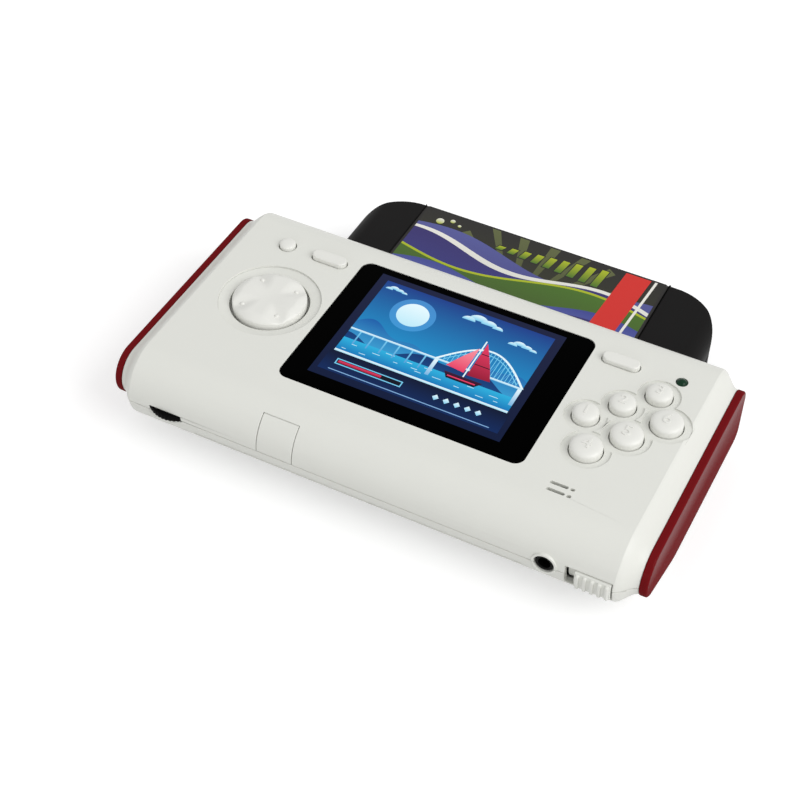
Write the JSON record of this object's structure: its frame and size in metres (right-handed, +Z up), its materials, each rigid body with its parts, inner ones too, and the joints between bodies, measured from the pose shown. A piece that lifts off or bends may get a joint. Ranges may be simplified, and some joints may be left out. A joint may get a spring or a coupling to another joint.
{
  "type": "handheld game console",
  "caption": "Oblong handheld game console with curved ends, red side panels, a wide screen, a direction pad, face buttons and a cartridge plugged in at the back.",
  "frame": {"origin": "on the flat underside, below the middle of the screen window", "axes": "+X to the player's right, +Y away from the player towards the cartridge, +Z up out of the screen"},
  "size_m": [0.1676, 0.1195, 0.0324],
  "materials": {
    "shell": "warm off-white, fine satin",
    "buttons": "off-white, smooth",
    "panel": "dark red, glossy",
    "window": "clear with a black border, glossy",
    "display": "lit blue picture",
    "white": "white diffuser",
    "steel": "plated",
    "rubber": "grey, matt",
    "ribbon": "amber film",
    "board": "green solder mask",
    "chip": "black moulded",
    "can": "drawn can",
    "light": "dark green, clear",
    "speaker": "black",
    "jack": "black",
    "wheel": "black, notched rim",
    "contact": "plated",
    "cartridge": "black, fine texture",
    "label": "printed bands of colour",
    "battery": "wrapped cell"
  },
  "bodies": {
    "case": {"top_shell": "shell", "bottom_shell": "shell", "left_side_panel": "panel", "right_side_panel": "panel", "screen_window": "window", "lcd_glass": "display", "lcd_backlight": "white", "lcd_pan": "steel", "lcd_cushions": "rubber", "lcd_ribbon": "ribbon", "main_board": "board", "main_chip": "chip", "memory_chips": "chip", "board_capacitors": "can", "board_screws": "steel", "dpad_membrane": "rubber", "button_membrane": "rubber", "start_membrane": "rubber", "menu_membrane": "rubber", "power_led": "light", "speaker": "speaker", "speaker_gasket": "rubber", "headphone_jack": "jack", "power_switch": "steel", "volume_screw": "steel", "volume_pot": "steel", "port_cover": "shell", "charging_port": "steel", "cartridge_connector": "chip", "connector_pins": "contact", "battery_pack": "battery", "battery_contacts": "contact", "battery_cover": "shell", "battery_cover_screw": "steel", "case_screws": "steel"},
    "cartridge": {"cartridge_upper_shell": "cartridge", "cartridge_lower_shell": "cartridge", "cartridge_board": "board", "cartridge_screw": "steel", "cartridge_label": "label"},
    "dpad_pivot": {"dpad_pivot": "steel"},
    "dpad": {"dpad": "buttons"},
    "button_a": {"button_a": "buttons"},
    "button_b": {"button_b": "buttons"},
    "button_c": {"button_c": "buttons"},
    "button_x": {"button_x": "buttons"},
    "button_y": {"button_y": "buttons"},
    "button_z": {"button_z": "buttons"},
    "start_button": {"start_button": "buttons"},
    "menu_button": {"menu_button": "buttons"},
    "reset_button": {"reset_button": "buttons"},
    "power_slider": {"power_slider": "shell"},
    "volume_wheel": {"volume_wheel": "wheel"}
  },
  "joints": [
    {"name": "dpad_front_back", "type": "hinge", "parent": "case", "child": "dpad_pivot", "pos_m": [-0.0555, -0.0015, 0.0239], "axis": [1, 0, 0], "range_deg": [-4, 4], "stiffness_Nm_per_rad": 0.06},
    {"name": "dpad_left_right", "type": "hinge", "parent": "dpad_pivot", "child": "dpad", "pos_m": [-0.0555, -0.0015, 0.0239], "axis": [0, 1, 0], "range_deg": [-4, 4], "stiffness_Nm_per_rad": 0.06, "deforming": ["dpad_membrane"]},
    {"name": "button_a_press", "type": "slide", "parent": "case", "child": "button_a", "axis": [0, 0, -1], "range_m": [0, 0.0012], "stiffness_N_per_m": 500, "deforming": ["button_membrane"]},
    {"name": "button_b_press", "type": "slide", "parent": "case", "child": "button_b", "axis": [0, 0, -1], "range_m": [0, 0.0012], "stiffness_N_per_m": 500},
    {"name": "button_c_press", "type": "slide", "parent": "case", "child": "button_c", "axis": [0, 0, -1], "range_m": [0, 0.0012], "stiffness_N_per_m": 500},
    {"name": "button_x_press", "type": "slide", "parent": "case", "child": "button_x", "axis": [0, 0, -1], "range_m": [0, 0.0012], "stiffness_N_per_m": 500},
    {"name": "button_y_press", "type": "slide", "parent": "case", "child": "button_y", "axis": [0, 0, -1], "range_m": [0, 0.0012], "stiffness_N_per_m": 500},
    {"name": "button_z_press", "type": "slide", "parent": "case", "child": "button_z", "axis": [0, 0, -1], "range_m": [0, 0.0012], "stiffness_N_per_m": 500},
    {"name": "start_button_press", "type": "slide", "parent": "case", "child": "start_button", "axis": [0, 0, -1], "range_m": [0, 0.0008], "stiffness_N_per_m": 600, "deforming": ["start_membrane"]},
    {"name": "menu_button_press", "type": "slide", "parent": "case", "child": "menu_button", "axis": [0, 0, -1], "range_m": [0, 0.0008], "stiffness_N_per_m": 600, "deforming": ["menu_membrane"]},
    {"name": "reset_button_press", "type": "slide", "parent": "case", "child": "reset_button", "axis": [0, 0, -1], "range_m": [0, 0.0008], "stiffness_N_per_m": 600},
    {"name": "power_slide", "type": "slide", "parent": "case", "child": "power_slider", "axis": [1, 0, 0], "range_m": [-0.0026, 0]},
    {"name": "volume_turn", "type": "hinge", "parent": "case", "child": "volume_wheel", "pos_m": [-0.0649, -0.0387, 0.0174], "axis": [0, 0, 1], "range_deg": [-140, 140]},
    {"name": "cartridge_slide", "type": "slide", "parent": "case", "child": "cartridge", "axis": [0, 1, 0], "range_m": [0, 0.045]}
  ]
}
